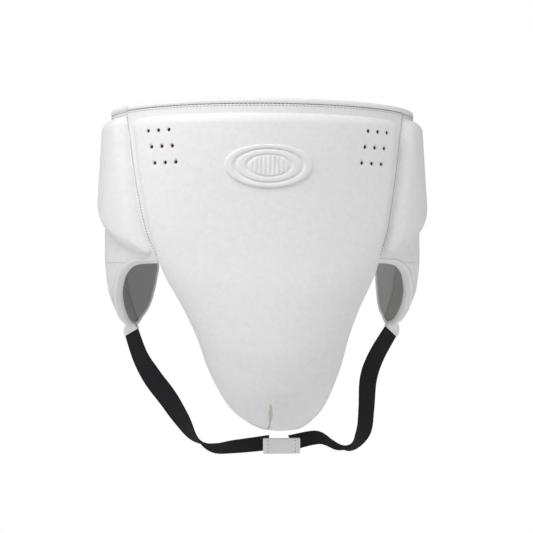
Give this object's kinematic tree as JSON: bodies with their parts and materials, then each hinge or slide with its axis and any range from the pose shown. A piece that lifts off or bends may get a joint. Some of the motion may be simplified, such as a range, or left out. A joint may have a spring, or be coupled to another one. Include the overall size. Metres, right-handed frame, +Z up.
{
  "type": "groin protector",
  "caption": "Padded groin protector with a hard cup, raised hip pads, elastic leg straps and a hook-and-loop back closure, in its worn shape.",
  "frame": {"origin": "centre of the waist opening, in the plane of its top edge", "axes": "+Z up, the front faces -Y, +X is the viewer's right from the front"},
  "size_m": [0.3878, 0.2766, 0.3933],
  "materials": {
    "white_microfibre": "fine pebble grain, satin",
    "binding_leather": "smooth, satin",
    "badge_leather": "embossed, satin",
    "grey_lining": "smooth coated lining cloth",
    "impact_foam": "closed-cell foam",
    "soft_foam": "open-cell foam",
    "cup_plastic": "moulded",
    "black_webbing": "ribbed elastic webbing",
    "black_elastic": "wide woven elastic",
    "black_loop": "brushed loop pile",
    "black_hook": "hook tape"
  },
  "bodies": {
    "front": {"front_lining": "grey_lining", "belly_foam": "impact_foam", "belly_cover": "white_microfibre", "cup_cushion": "soft_foam", "cup_shell": "cup_plastic", "cup_foam": "soft_foam", "cup_cover": "white_microfibre", "badge": "badge_leather", "front_binding": "binding_leather", "front_waistband": "white_microfibre", "crotch_tab": "binding_leather", "leg_strap_left": "black_webbing", "leg_strap_right": "black_webbing"},
    "wing_left": {"wing_lining_left": "grey_lining", "wing_foam_left": "soft_foam", "wing_cover_left": "white_microfibre", "hip_foam_left": "impact_foam", "hip_cover_left": "white_microfibre", "edge_binding_left": "binding_leather", "wing_binding_left": "binding_leather", "strap_tab_left": "binding_leather", "back_band_left": "black_elastic", "loop_panel": "black_loop"},
    "wing_right": {"wing_lining_right": "grey_lining", "wing_foam_right": "soft_foam", "wing_cover_right": "white_microfibre", "hip_foam_right": "impact_foam", "hip_cover_right": "white_microfibre", "edge_binding_right": "binding_leather", "wing_binding_right": "binding_leather", "strap_tab_right": "binding_leather", "back_band_right": "black_elastic", "closure_base": "binding_leather"},
    "closure": {"closure_flap": "white_microfibre", "hook_patch": "black_hook", "pull_tab": "black_webbing"}
  },
  "joints": [
    {"name": "wing_right_swing", "type": "hinge", "parent": "front", "child": "wing_right", "pos_m": [0.1521, -0.0766, -0.1], "axis": [-0.145, -0.1617, -0.9761], "range_deg": [0, 40]},
    {"name": "wing_left_swing", "type": "hinge", "parent": "front", "child": "wing_left", "pos_m": [-0.1521, -0.0766, -0.1], "axis": [-0.145, 0.1617, 0.9761], "range_deg": [0, 40]},
    {"name": "closure_peel", "type": "hinge", "parent": "wing_right", "child": "closure", "pos_m": [0.0308, 0.1205, -0.0395], "axis": [0, 0, -1], "range_deg": [0, 120]}
  ],
  "couplings": [
    {"joint": "wing_left_swing", "follows": "wing_right_swing", "ratio": 1}
  ]
}
